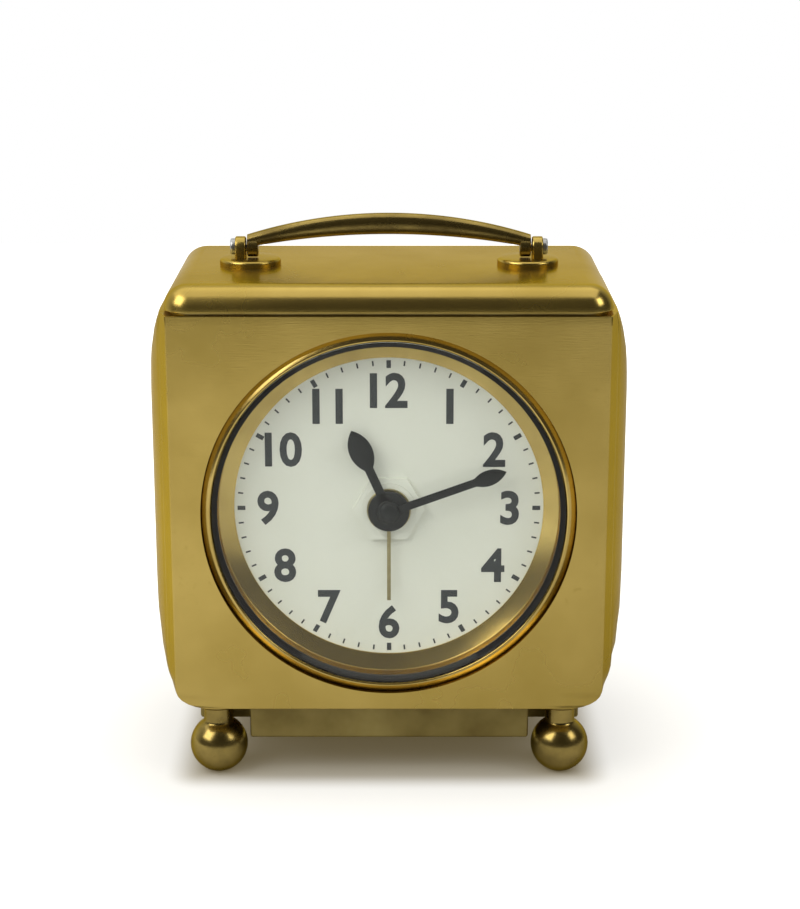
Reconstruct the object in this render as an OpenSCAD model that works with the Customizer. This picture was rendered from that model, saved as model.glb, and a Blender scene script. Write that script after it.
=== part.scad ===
// Travel alarm clock: a swelled brass case on ball feet, with a folding handle on its top plate.
// The front faces -Y and the feet stand on Z = 0. The middle of the case is X = 0, Y = 0.
// The hands and wheels turn about axes along Y, and stand at about twelve minutes past eleven.

/* [Case] */
// Width of the front face on each side of the bezel ring
face_side = 4.4; // [4.2:0.1:8]
// Height of the front face above the bezel ring, up to the seam
face_above = 2.4; // [2:0.1:6]
// Height of the front face below the bezel ring
face_below = 2.6; // [2.2:0.1:6]
// How far each side swells out beyond the front face
side_swell = 3.9; // [1:0.1:5]
// Rounding of the case's upright edges
upright_edge_r = 2.4; // [1:0.1:3]
// Radius at which the sides curve in towards the top and bottom
side_curve_r = 36; // [32:1:60]
// Rounding of the case's lower side edges
lower_corner_r = 6; // [4:0.1:6.5]
// Rounding of the top plate's side edges
top_side_r = 3.8; // [1.5:0.1:4.5]
// Rounding of the top plate's front and back edges
top_front_r = 3.4; // [0.8:0.1:3.5]
// Rounding of the case's lower edges at the front and back
bottom_front_r = 1.8; // [0.8:0.1:2.4]
// How far the top plate's sides swell out beyond the front face
top_swell = 0.5; // [0.2:0.1:0.8]
// Thickness of the case's bottom
bottom_t = 1.8; // [1.6:0.1:2.4]
// Thickness of the case's side walls where they are thinnest
side_t = 1.9; // [1.4:0.1:2.2]
// Thickness of the front plate
front_t = 3; // [2:0.1:3.4]
// Thickness of the top plate
top_t = 4; // [3.6:0.1:5]
// Height of the dark seam under the top plate
seam_h = 0.4; // [0.2:0.05:0.6]
// Depth of the dark seam under the top plate
seam_depth = 0.5; // [0.3:0.05:0.8]
// How far the top plate's rim reaches down into the case
spigot_h = 1; // [0.6:0.1:1.1]

/* [Feet and base] */
// Diameter of each ball foot
foot_d = 8.6; // [7.8:0.1:9]
// Height of the case's underside above the table
foot_h = 11.6; // [9.2:0.1:12]
// Height of the flat that is cut on the underside of each ball
foot_flat_h = 0.2; // [0.1:0.05:0.4]
// Distance of each foot's axis from the edge of the front face, sideways
foot_inset_x = 5.8; // [5.2:0.1:8]
// Distance of each foot's axis from the front or back of the case
foot_inset_y = 5.4; // [5:0.1:6]
// Diameter of the neck on top of each ball foot
foot_neck_d = 4.4; // [4.4:0.1:6]
// Height of the base plate between the feet
base_t = 5.6; // [3:0.1:7]
// Gap between the base plate and each ball foot
base_gap = 0.6; // [0.4:0.1:1.5]
// How far the base plate stands back from the case's faces
base_inset = 2.6; // [2:0.1:4]
// Shank diameter of the foot and base screws
foot_screw_d = 2; // [1.6:0.1:2.2]
// How far these screws reach below the case
foot_screw_grip = 2.6; // [2:0.1:3.5]

/* [Bezel and glass] */
// Outside radius of the bezel ring
bezel_r = 27; // [26.2:0.1:27.4]
// Width of the bezel ring's flat front rim
rim_w = 1.4; // [1:0.1:1.8]
// Width of the dished slope between the glass's seat and the dial
slope_w = 2.25; // [1.5:0.05:4]
// Thickness of the glass
glass_t = 1.2; // [1:0.1:1.4]
// How far the glass lies below the bezel's rim
glass_drop = 0.3; // [0.1:0.05:0.4]
// Thickness of the gasket under the glass
gasket_t = 0.4; // [0.3:0.05:0.5]
// Width of the gasket under the glass
gasket_w = 0.8; // [0.6:0.05:0.9]

/* [Handle] */
// Distance of each post from the middle
post_x = 20.5; // [18:0.1:22]
// Diameter of each post's round base
post_d = 9; // [8:0.1:10]
// Height of each post's round base
post_h = 1; // [0.8:0.1:1.1]
// Diameter of the handle's pins
pin_d = 1.4; // [1:0.1:1.6]
// Height of the handle's crown above the top plate
crown_h = 7.6; // [7:0.1:10]
// Height of the handle's bar in its middle
bar_h = 3.1; // [2:0.1:4]
// Height of the handle's bar at its ends
bar_end_h = 1.9; // [1.4:0.1:2.4]
// How far the handle's outer edge falls from its crown to its ends
bar_fall = 3.1; // [2:0.1:3.4]
// Thickness of the handle, front to back
bar_t = 2.4; // [1.8:0.1:3]
// Radius of the handle's eyes round the pins
eye_r = 1.5; // [1.3:0.1:1.6]
// Thickness of the handle's eyes along the pins
eye_t = 1.6; // [1.4:0.1:2.4]
// Thickness of the ear that stands on each post
ear_t = 1.6; // [1.4:0.1:2.4]

/* [Movement] */
// Depth of the movement's housing
movement_d = 25.5; // [21:0.1:30]
// Corner radius of the movement's housing
movement_r = 8; // [7.2:0.1:9]
// Wall thickness of the movement's housing
movement_wall = 1.4; // [1.2:0.05:1.5]
// Thickness of the dial plate
dial_t = 0.5; // [0.4:0.05:0.6]
// Tooth size of the wheels (module)
tooth_m = 0.5; // [0.46:0.01:0.52]
// Thickness of the toothed wheels
wheel_t = 1; // [0.8:0.05:1]
// Diameter of the minute arbor
arbor_d = 1.8; // [1.6:0.1:1.9]
// Wall thickness of the hour and alarm pipes
pipe_wall = 0.65; // [0.5:0.05:0.7]
// Diameter of the battery
battery_d = 14.5; // [10:0.1:16.5]
// Length of the battery
battery_l = 50.5; // [44:0.1:60]
// Space that the battery's spring contact fills
spring_l = 1.3; // [1:0.1:3]
// Diameter of the buzzer
buzzer_d = 18; // [14:0.5:20]
// Thickness of the buzzer
buzzer_t = 3; // [2:0.1:5]
// Diameter of the knob spindles
spindle_d = 2.4; // [2:0.1:2.6]
// Distance that the alarm switch slides
switch_travel = 3; // [2:0.1:3.5]

/* [Hands] */
// Length of the minute hand
minute_l = 18; // [15:0.1:19.5]
// Length of the hour hand
hour_l = 13.2; // [11:0.1:15]
// Length of the alarm hand
alarm_l = 13.8; // [11:0.1:16]
// Thickness of the hands
hand_t = 0.25; // [0.2:0.01:0.3]
// Distance from each hand to the next
hand_step = 0.7; // [0.5:0.05:1.2]
// Angle of the minute hand, clockwise from twelve
minute_angle = 70; // [0:1:359]
// Angle of the hour hand, clockwise from twelve
hour_angle = 336; // [0:1:359]
// Angle of the alarm hand, clockwise from twelve
alarm_angle = 180; // [0:1:359]

/* [Back] */
// Thickness of the back plate
back_t = 1.5; // [1:0.1:1.6]
// Diameter of the setting knobs
knob_d = 9; // [7:0.1:10]
// Height of the setting knobs
knob_h = 4.3; // [3:0.1:4.6]
// Shank diameter of the small screws
screw_d = 1.6; // [1.4:0.1:1.8]
// How far the knobs stand back from the case's rear edge
knob_cover = 0.9; // [0.5:0.1:4]

/* [Hidden] */
$fn = 96;

brass = [0.78, 0.66, 0.36];
dark_brass = [0.45, 0.36, 0.16];
steel = [0.72, 0.73, 0.75];
black = [0.12, 0.12, 0.13];

// Fits
running = 0.05;   // radial gap of a shaft that turns in its bore
pushed = 0.02;    // radial gap of a piece that is pushed onto a shaft
loose = 0.15;     // gap round a plate that drops into its place
clear = 0.3;      // gap between a piece that moves and what it passes
over = 1;         // how far a cut runs past the face that it opens
hair = 0.05;      // small step that keeps two outlines from running into one face
side_flat = 0.4;  // how much of the swell the flat middle of each side cuts off

// The movement's reach round the dial's centre: its battery lies below the train, its buzzer above
boss_r = 1.9;
board_low = -5.4;
board_gap = 1.85;
battery_up = board_low - board_gap - battery_d / 2;
movement_low = battery_up - battery_d / 2 - 2 * boss_r - 0.45;
buzzer_at = [3, 15.5];
buzzer_room = 0.1;
movement_high = buzzer_at[1] + buzzer_d / 2 + buzzer_room + movement_wall;
contact_t = 0.4;
movement_w = battery_l + spring_l + contact_t + 2 * movement_wall;

// Heights and width: the case goes round the bezel ring and the movement
movement_room = 0.8;
dial_z = foot_h + max(bezel_r + face_below, bottom_t + movement_room - movement_low);
seam_z = dial_z + max(bezel_r + face_above, movement_high + spigot_h + movement_room);
case_top = seam_z + top_t;
case_h = case_top - foot_h;
cavity_z = foot_h + bottom_t;
case_w = 2 * max(bezel_r + face_side, movement_w / 2 + boss_r + side_t);
cavity_w = case_w - 2 * side_t;
cavity_r = 3;

// Hands and bush, counted forward from the dial
nut_t = 0.7;
bush_stand = 0.9;
hub_gap = 0.4;
cap_t = 0.6;
cap_gap = 0.2;
hand_r = 2.6;
dial_depth = glass_drop + glass_t + cap_gap + cap_t + 2 * hand_step + hub_gap + bush_stand;

// Depths, front to back: the knobs stay within the case
case_d = dial_depth + dial_t + movement_d + back_t + clear + knob_h + knob_cover;
front_y = -case_d / 2;
front_back_y = front_y + front_t;
rear_y = case_d / 2;
glass_y = front_y + glass_drop;
gasket_y = glass_y + glass_t;
slope_y = gasket_y + gasket_t;
dial_y = front_y + dial_depth;
alarm_hand_y = dial_y - bush_stand - hub_gap;
hour_hand_y = alarm_hand_y - hand_step;
minute_hand_y = hour_hand_y - hand_step;
movement_y = dial_y + dial_t;
movement_back_y = movement_y + movement_d;
back_y = movement_back_y;
foot_x = case_w / 2 - foot_inset_x;
foot_y = case_d / 2 - foot_inset_y;

// Motion works: radii of the nested pipes
arbor_r = arbor_d / 2;
hour_pipe_r = arbor_r + running + pipe_wall;
alarm_pipe_r = hour_pipe_r + running + pipe_wall;
bush_bore_r = alarm_pipe_r + running;
bush_wall = 1.55;
bush_r = bush_bore_r + bush_wall;

// Motion works: teeth, and places round the dial's centre as [sideways, up]
cannon_teeth = 12;
minute_teeth = 36;
minute_pinion_teeth = 10;
hour_teeth = 40;
alarm_teeth = 40;
setting_teeth = 12;
centre = [0, 0];
minute_reach = tooth_m * (cannon_teeth + minute_teeth) / 2;
hour_tooth_m = 2 * minute_reach / (minute_pinion_teeth + hour_teeth);
setting_reach = tooth_m * (setting_teeth + minute_teeth) / 2;
alarm_reach = tooth_m * (setting_teeth + alarm_teeth) / 2;
minute_dir = 0;
setting_dir = 60;
alarm_dir = 135;
minute_at = minute_reach * [cos(minute_dir), sin(minute_dir)];
setting_at = minute_at + setting_reach * [cos(setting_dir), sin(setting_dir)];
alarm_at = alarm_reach * [cos(alarm_dir), sin(alarm_dir)];

// Motion works: depths of the wheels, each behind the last
wheel_gap = 0.3;
front_wall_t = 1.2;
wall_back_y = movement_y + front_wall_t;
alarm_wheel_y = wall_back_y + 0.2;
hour_wheel_y = alarm_wheel_y + wheel_t + wheel_gap;
minute_wheel_y = hour_wheel_y + wheel_t + wheel_gap + 0.1;
cannon_t = wheel_t + 0.4;
gearbox_y = minute_wheel_y + wheel_t + 1;
gearbox_d = 5.4;
gearbox_left = -7;
gearbox_top = 7;
gearbox_right = minute_reach + 9;
board_y = gearbox_y + gearbox_d;
board_t = 1;
split_y = board_y + board_t;

// Electrical pieces, round the dial's centre as [sideways, up]
battery_room = 0.55;
battery_y = movement_back_y - battery_room - battery_d / 2;
contact_w = 8;
switch_size = [3, 2];
switch_flange = [6, 3.4, 0.8];

// Screws in the movement and back plate, round the dial's centre
upper_boss = [movement_w / 2 - 7, movement_high - 7.4];
lower_boss = [movement_w / 4, movement_low + boss_r];
switch_at = [6.5 - upper_boss[0], movement_high - 5.2];
back_screw_x = cavity_w / 2 - boss_r;
back_screw_up = [movement_low + 1.5, movement_high - 1.5];
back_screw_head_r = 1.7;
back_screw_head_h = 0.9;
back_screw_l = 6;

// Window for the battery
housing_window = [battery_l + 0.7, battery_d + 0.4];
window = housing_window + [1.6, 1.5];

// Posts, pins and nuts
stud_r = 1.3;
nut_pocket_r = 3.3;
post_nut_r = 2.9;
post_nut_t = 1.8;
ear_x = post_x + 0.6;
eye_x = ear_x - 0.2;
pin_h = post_h + eye_r + 0.1;
pin_head_r = 1.2;
pin_head_t = 0.7;
pin_z = case_top + pin_h;

// Solid whose front outline stands in X and Z, from front_at back by depth
module upright(front_at, depth) {
    translate([0, front_at + depth, 0]) rotate([90, 0, 0]) linear_extrude(depth) children();
}

// The same, with the outline drawn round the dial's centre
module round_dial(front_at, depth) {
    translate([0, 0, dial_z]) upright(front_at, depth) children();
}

// Turned piece round an axis along Y, at a place round the dial's centre; its profile is radius by Y
module turned(at = centre) {
    translate([at[0], 0, dial_z + at[1]]) rotate([-90, 0, 0]) rotate_extrude() children();
}

module rounded_rect(size, r) {
    for (x = [-1, 1]) {
        for (y = [-1, 1]) {
            translate([x * (size[0] / 2 - r), y * (size[1] / 2 - r)]) circle(r);
        }
    }
    square([size[0] - 2 * r, size[1]], center = true);
    square([size[0], size[1] - 2 * r], center = true);
}

// A block between two corners
module between(low, high) {
    translate(low) cube(high - low);
}

// Radius of the arc that spans half_span and rises by rise
function arc_r(half_span, rise) = (half_span * half_span + rise * rise) / (2 * rise);

// What lies between two rays from a corner point
module wedge(at, one, other) {
    polygon([at, at + 2 * (one - at), at + 2 * (other - at)]);
}

// The case seen from above: its sides are arcs that run through the corners of the front face, its edges are rounded
module plan_outline() {
    plan_swell = side_swell + side_flat;
    plan_r = arc_r(case_d / 2, plan_swell);
    plan_at = [case_w / 2 + plan_swell - plan_r, 0];
    edge_y = case_d / 2 - upright_edge_r;
    edge_x = plan_at[0] + sqrt((plan_r - upright_edge_r) * (plan_r - upright_edge_r) - edge_y * edge_y);
    square([2 * edge_x, case_d], center = true);
    for (side = [0, 1]) {
        mirror([side, 0]) {
            intersection() {
                translate(plan_at) circle(plan_r, $fn = 384);
                wedge(plan_at, [edge_x, -edge_y], [edge_x, edge_y]);
            }
            for (y = [-edge_y, edge_y]) {
                translate([edge_x, y]) circle(upright_edge_r);
            }
        }
    }
}

// The case seen from the front, where it is widest: straight in the middle, curving in above and below
module bulge_outline() {
    straight = case_h * 2 / 9;
    wide = case_w / 2 + side_swell;
    curve_x = wide - side_curve_r;
    high_at = [curve_x, foot_h + case_h / 2 + straight];
    low_at = [curve_x, foot_h + case_h / 2 - straight];
    corner_z = foot_h + lower_corner_r;
    corner_run = side_curve_r - lower_corner_r;
    corner_drop = low_at[1] - corner_z;
    corner_at = [curve_x + sqrt(corner_run * corner_run - corner_drop * corner_drop), corner_z];
    translate([0, foot_h + case_h / 2]) {
        square([2 * wide, 2 * straight], center = true);
        square([2 * corner_at[0], case_h], center = true);
    }
    for (side = [0, 1]) {
        mirror([side, 0]) {
            intersection() {
                translate(high_at) circle(side_curve_r, $fn = 384);
                translate([0, high_at[1] - over]) square([case_w, case_h]);
            }
            intersection() {
                translate(low_at) circle(side_curve_r, $fn = 384);
                wedge(low_at, corner_at, [case_w, low_at[1]]);
            }
            translate(corner_at - [hair, 0]) circle(lower_corner_r);
        }
    }
}

// The case seen from the side: its upper edges are rounded by one radius, its lower edges by another
module edge_outline() {
    half_h = case_h / 2;
    for (part = [[half_h / 2, top_front_r], [-half_h / 2, bottom_front_r]]) {
        intersection() {
            rounded_rect([case_d + 2 * hair, case_h], part[1]);
            translate([0, part[0]]) square([case_d + over, half_h], center = true);
        }
    }
}

// The case's outside, before it is cut into pieces; its front outline is given
module case_form() {
    intersection() {
        translate([0, 0, foot_h - over]) linear_extrude(case_h + 2 * over) plan_outline();
        upright(front_y - over, case_d + 2 * over) children();
        rotate([90, 0, 90]) translate([0, case_top - case_h / 2, -case_w]) linear_extrude(2 * case_w) edge_outline();
    }
}

// The room inside the case, open to the front, the back and the top plate
module cavity() {
    room_h = seam_z - cavity_z + 2 * cavity_r;
    translate([0, cavity_z + room_h / 2, 0]) rounded_rect([cavity_w, room_h], cavity_r);
}

// Bosses for the back plate's screws, joined to the case's sides
module back_boss(x, up) {
    boss_y = back_y - back_screw_l - over;
    reach = cavity_w / 2 - back_screw_x + side_t / 2;
    round_dial(boss_y, back_y - boss_y) translate([x * back_screw_x, up]) {
        circle(boss_r);
        translate([x > 0 ? 0 : -reach, -boss_r]) square([reach, 2 * boss_r]);
    }
}

module case_band() {
    color(brass) difference() {
        union() {
            difference() {
                intersection() {
                    case_form() bulge_outline();
                    between([-case_w, front_back_y, foot_h - over], [case_w, rear_y + over, seam_z]);
                }
                upright(front_back_y - over, case_d) cavity();
            }
            for (x = [-1, 1]) {
                for (up = back_screw_up) {
                    back_boss(x, up);
                }
            }
        }
        for (x = [-1, 1]) {
            for (up = back_screw_up) {
                turned([x * back_screw_x, up])
                    translate([0, back_y - back_screw_l]) square([screw_d / 2 + pushed, back_screw_l + over]);
            }
        }
        for_each_foot() countersunk(pushed);
        for_each_base_screw() countersunk(pushed);
    }
}

module front_plate() {
    color(brass) difference() {
        intersection() {
            case_form() bulge_outline();
            between([-case_w, front_y - over, foot_h - over], [case_w, front_back_y, seam_z]);
        }
        turned() translate([0, front_y - over]) square([bezel_r + running, front_t + 2 * over]);
    }
}

module bezel_ring() {
    rim_r = bezel_r - rim_w;
    ledge_r = rim_r - gasket_w - running;
    slope_r = ledge_r - slope_w;
    color(brass) turned() polygon([
        [bezel_r, front_y + clear], [bezel_r - clear, front_y], [rim_r + clear, front_y],
        [rim_r, front_y + clear], [rim_r, slope_y], [ledge_r, slope_y],
        [slope_r, dial_y - dial_t / 2], [slope_r, dial_y], [bezel_r, dial_y]
    ]);
}

module crystal() {
    color([0.8, 0.9, 0.9, 0.3]) turned()
        translate([0, glass_y]) square([bezel_r - rim_w - running, glass_t]);
}

module crystal_gasket() {
    color(black) turned()
        translate([bezel_r - rim_w - running - gasket_w, gasket_y]) square([gasket_w, gasket_t]);
}

module top_plate() {
    color(brass) difference() {
        union() {
            intersection() {
                case_form() translate([0, case_top - case_h / 2])
                    rounded_rect([case_w + 2 * top_swell, case_h], top_side_r);
                between([-case_w, -case_d, seam_z + seam_h], [case_w, case_d, case_top + over]);
            }
            translate([0, 0, seam_z]) linear_extrude(seam_h + seam_depth)
                rounded_rect([case_w - 2 * seam_depth, case_d - 2 * seam_depth], upright_edge_r);
            between([-cavity_w / 2 + loose, front_back_y + loose, seam_z - spigot_h],
                [cavity_w / 2 - loose, back_y - clear, seam_z + seam_depth]);
        }
        for (side = [-1, 1]) {
            translate([side * post_x, 0, seam_z - spigot_h - over])
                cylinder(r = stud_r + running, h = top_t + spigot_h + 2 * over);
            translate([side * post_x, 0, seam_z - spigot_h - over])
                cylinder(r = nut_pocket_r, h = post_nut_t + over);
        }
    }
}

// Four places under the case where the feet are fixed
module for_each_foot() {
    for (x = [-1, 1]) {
        for (y = [-1, 1]) {
            translate([x * foot_x, y * foot_y, cavity_z]) children();
        }
    }
}

module for_each_base_screw() {
    for (x = [-1, 1]) {
        translate([x * foot_x / 2, 0, cavity_z]) children();
    }
}

// A countersunk screw whose head is flush with Z = 0 and whose shank hangs down
module countersunk(grow = 0) {
    head_r = foot_screw_d;
    head_h = foot_screw_d / 2;
    shank_l = bottom_t + foot_screw_grip;
    translate([0, 0, -head_h]) cylinder(r1 = foot_screw_d / 2 + grow, r2 = head_r + grow, h = head_h);
    translate([0, 0, -shank_l - grow]) cylinder(d = foot_screw_d + 2 * grow, h = shank_l - head_h + 2 * grow);
}

// The base plate is notched at its corners, where the feet stand
module base_plate() {
    notch = foot_d / 2 + base_gap;
    color(dark_brass) difference() {
        translate([0, 0, foot_h - base_t]) linear_extrude(base_t) {
            square([2 * (foot_x - notch), case_d - 2 * base_inset], center = true);
            square([case_w - 2 * base_inset, 2 * (foot_y - notch)], center = true);
        }
        for_each_base_screw() countersunk(pushed);
    }
}

module base_screws() {
    color(steel) for_each_base_screw() countersunk();
}

// A turned ball foot with a neck, and a flat on which it stands
module foot(x, y) {
    ball_z = foot_d / 2 - foot_flat_h;
    color(brass) translate([x * foot_x, y * foot_y, 0]) difference() {
        rotate_extrude() intersection() {
            union() {
                translate([0, ball_z]) circle(d = foot_d);
                translate([0, ball_z]) square([foot_neck_d / 2, foot_h - ball_z]);
            }
            square([foot_d, foot_h]);
        }
        translate([0, 0, cavity_z]) countersunk(pushed);
    }
}

module foot_front_left() {
    foot(-1, -1);
}

module foot_front_right() {
    foot(1, -1);
}

module foot_rear_left() {
    foot(-1, 1);
}

module foot_rear_right() {
    foot(1, 1);
}

module foot_screws() {
    color(steel) for_each_foot() countersunk();
}

// An outline in Y and Z, made solid from x_from sideways by thick
module sideways(x_from, thick) {
    translate([x_from, 0, 0]) rotate([90, 0, 90]) linear_extrude(thick) children();
}

// A pin's hole or body along X, to the right of the middle
module cross_pin(x_from, x_to, r) {
    translate([x_from, 0, pin_z]) rotate([0, 90, 0]) cylinder(r = r, h = x_to - x_from);
}

// A turned base with an ear for the handle's pin, and a stud down through the top plate
module post() {
    ear_r = eye_r;
    color(brass) difference() {
        union() {
            translate([post_x, 0, case_top]) rotate_extrude() {
                square([post_d / 2 - post_h / 3, post_h]);
                square([post_d / 2, post_h * 2 / 3]);
                translate([post_d / 2 - post_h / 3, post_h * 2 / 3]) circle(post_h / 3);
            }
            sideways(ear_x, ear_t) {
                translate([0, pin_z]) circle(ear_r);
                translate([-ear_r, case_top]) square([2 * ear_r, pin_h]);
            }
            translate([post_x, 0, seam_z - spigot_h]) cylinder(r = stud_r, h = top_t + spigot_h);
        }
        cross_pin(ear_x - over, ear_x + ear_t + over, pin_d / 2 + pushed);
    }
}

module post_left() {
    mirror([1, 0, 0]) post();
}

module post_right() {
    post();
}

module post_nuts() {
    color(steel) for (side = [-1, 1]) {
        translate([side * post_x, 0, seam_z - spigot_h]) difference() {
            cylinder(r = post_nut_r, h = post_nut_t, $fn = 6);
            translate([0, 0, -over]) cylinder(r = stud_r + pushed, h = post_nut_t + 2 * over);
        }
    }
}

// A crescent bar between two eyes, its outer edge rounded as it was cast
module handle() {
    outer_r = arc_r(post_x, bar_fall);
    outer_z = case_top + crown_h - outer_r;
    under_rise = bar_fall - (bar_h - bar_end_h);
    under_r = arc_r(post_x, under_rise);
    under_z = case_top + crown_h - bar_h - under_r;
    round_r = bar_t / 4;
    color(brass) difference() {
        union() {
            difference() {
                translate([0, 0, outer_z]) rotate([-90, 0, 0]) rotate_extrude($fn = 384) {
                    translate([0, -bar_t / 2]) square([outer_r - round_r, bar_t]);
                    translate([0, round_r - bar_t / 2]) square([outer_r, bar_t - 2 * round_r]);
                    for (side = [-1, 1]) {
                        translate([outer_r - round_r, side * (bar_t / 2 - round_r)]) circle(round_r);
                    }
                }
                translate([0, bar_t, under_z]) rotate([90, 0, 0]) cylinder(r = under_r, h = 2 * bar_t, $fn = 384);
                between([-2 * outer_r, -bar_t, outer_z - 2 * outer_r], [2 * outer_r, bar_t, pin_z - eye_r]);
                for (side = [0, 1]) {
                    mirror([side, 0, 0]) between([eye_x, -bar_t, outer_z - over], [2 * outer_r, bar_t, pin_z + crown_h]);
                }
            }
            for (side = [0, 1]) {
                mirror([side, 0, 0]) cross_pin(eye_x - eye_t, eye_x, eye_r);
            }
        }
        for (side = [0, 1]) {
            mirror([side, 0, 0]) cross_pin(eye_x - eye_t - over, eye_x + over, pin_d / 2 + running);
        }
    }
}

module handle_pins() {
    color(steel) for (side = [0, 1]) {
        mirror([side, 0, 0]) {
            cross_pin(eye_x - eye_t, ear_x + ear_t + pin_head_t, pin_d / 2);
            cross_pin(ear_x + ear_t, ear_x + ear_t + pin_head_t, pin_head_r);
        }
    }
}

module dial() {
    color([0.93, 0.94, 0.9]) turned()
        translate([bush_r + pushed, dial_y]) square([bezel_r - bush_r - pushed, dial_t]);
}

module centre_bush() {
    color(brass) turned() translate([bush_bore_r, dial_y - bush_stand])
        square([bush_r - bush_bore_r, wall_back_y - dial_y + bush_stand]);
}

module bush_nut() {
    color(brass) round_dial(dial_y - nut_t, nut_t) difference() {
        circle(bush_r + 1.4, $fn = 6);
        circle(bush_r + pushed);
    }
}

// Outline of the movement's housing
module movement_outline(inset = 0) {
    translate([0, (movement_high + movement_low) / 2])
        rounded_rect([movement_w - 2 * inset, movement_high - movement_low - 2 * inset], movement_r - inset);
}

module at_housing_screws() {
    for (x = [-1, 1]) {
        translate([x * upper_boss[0], upper_boss[1]]) children();
        translate([x * lower_boss[0], lower_boss[1]]) children();
    }
}

module front_housing() {
    color(black) difference() {
        union() {
            round_dial(movement_y, wall_back_y - movement_y) movement_outline();
            round_dial(movement_y, split_y - movement_y) difference() {
                movement_outline();
                movement_outline(movement_wall);
            }
            round_dial(movement_y, board_y - movement_y) at_housing_screws() circle(boss_r);
        }
        round_dial(movement_y - over, movement_d) circle(bush_r + pushed);
        round_dial(wall_back_y, movement_d) at_housing_screws() circle(screw_d / 2 + pushed);
    }
}

module rear_housing() {
    wall_y = movement_back_y - movement_wall;
    color(black) difference() {
        union() {
            round_dial(wall_y, movement_wall) movement_outline();
            round_dial(split_y, movement_back_y - split_y) difference() {
                movement_outline();
                movement_outline(movement_wall);
            }
            round_dial(split_y, movement_back_y - split_y) at_housing_screws() circle(boss_r);
        }
        round_dial(wall_y - over, movement_d) {
            translate([0, battery_up]) square(housing_window, center = true);
            translate(setting_at) circle(spindle_d / 2 + running);
            translate(alarm_at) circle(spindle_d / 2 + running);
            switch_slot();
        }
        round_dial(split_y - over, movement_d) at_housing_screws() circle(screw_d / 2 + pushed);
        housing_screw_heads(pushed);
    }
}

// Heads of the screws that hold the two halves of the housing together
module housing_screw_heads(grow = 0) {
    round_dial(movement_back_y - 0.8 - grow, 0.8 + 2 * grow) at_housing_screws() circle(screw_d * 0.9 + grow);
}

module housing_screws() {
    color(steel) {
        housing_screw_heads();
        round_dial(board_y - 4, movement_back_y - board_y + 4 - 0.4) at_housing_screws() circle(screw_d / 2);
    }
}

module circuit_board() {
    color([0.16, 0.4, 0.24]) round_dial(board_y, board_t) difference() {
        intersection() {
            movement_outline(movement_wall + loose);
            translate([-movement_w, board_low]) square([2 * movement_w, movement_high - movement_low]);
        }
        translate(setting_at) circle(spindle_d / 2 + clear);
        translate(alarm_at) circle(spindle_d / 2 + clear);
        at_housing_screws() circle(screw_d / 2 + loose);
    }
}

// The coil that steps the train, wound on its core between two cheeks
module coil() {
    coil_l = 11;
    coil_r = 2.2;
    cheek = 0.8;
    coil_x = -movement_w / 2 + movement_wall + 2.1;
    color([0.72, 0.4, 0.2]) translate([coil_x, board_y - coil_r - cheek, dial_z]) rotate([0, 90, 0]) {
        cylinder(r = coil_r, h = coil_l);
        for (end = [0, coil_l - cheek]) {
            translate([-coil_r - cheek, -coil_r - cheek, end]) cube([2 * (coil_r + cheek), 2 * (coil_r + cheek), cheek]);
        }
    }
}

// The sealed step train, which drives the minute arbor
module gearbox() {
    color([0.85, 0.86, 0.84]) round_dial(gearbox_y, gearbox_d) difference() {
        translate([gearbox_left, board_low]) square([gearbox_right - gearbox_left, gearbox_top - board_low]);
        circle(arbor_r + running);
    }
}

module buzzer() {
    color(brass) turned(buzzer_at) translate([0, movement_back_y - movement_wall - buzzer_t])
        square([buzzer_d / 2, buzzer_t]);
}

// Place of the battery's axis, with its length along X
module along_battery(x_from) {
    translate([x_from, battery_y, dial_z + battery_up]) rotate([0, 90, 0]) children();
}

module battery() {
    nub_l = 1;
    plus_x = movement_w / 2 - movement_wall - contact_t;
    color([0.25, 0.3, 0.4]) along_battery(plus_x - battery_l) union() {
        cylinder(d = battery_d, h = battery_l - nub_l);
        cylinder(r = battery_d / 5, h = battery_l);
    }
}

module contact_plus() {
    plus_x = movement_w / 2 - movement_wall - contact_t;
    color(steel) translate([plus_x, battery_y - contact_w / 2, dial_z + battery_up - contact_w / 2])
        cube([contact_t, contact_w, contact_w]);
}

// The spring contact: a plate and a flattened conical spring
module contact_minus() {
    end_x = -movement_w / 2 + movement_wall;
    battery_end = movement_w / 2 - movement_wall - contact_t - battery_l;
    color(steel) {
        translate([end_x, battery_y - contact_w / 2, dial_z + battery_up - contact_w / 2])
            cube([contact_t, contact_w, contact_w]);
        along_battery(end_x + contact_t / 2) cylinder(r1 = 3.4, r2 = 2, h = battery_end - end_x - contact_t / 2);
    }
}

module battery_cover() {
    color(brass) difference() {
        round_dial(back_y, back_t) translate([0, battery_up])
            rounded_rect([window[0] - 2 * loose, window[1] - 2 * loose], 1.2);
        translate([0, back_y + back_t + 2.4, dial_z + battery_up + window[1] / 3]) rotate([0, 90, 0])
            cylinder(r = 3, h = 12, center = true);
    }
}

// Round holes in a ring and one in the middle, which let the buzzer's sound out
module sound_holes() {
    circle(0.75);
    for (turn = [0:60:300]) {
        rotate(turn) translate([2.6, 0]) circle(0.75);
    }
}

// The slot in which the alarm switch slides
module switch_slot() {
    translate(switch_at + [switch_travel / 2, 0])
        square([switch_size[0] + switch_travel + 2 * clear, switch_size[1] + 2 * running], center = true);
}

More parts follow.
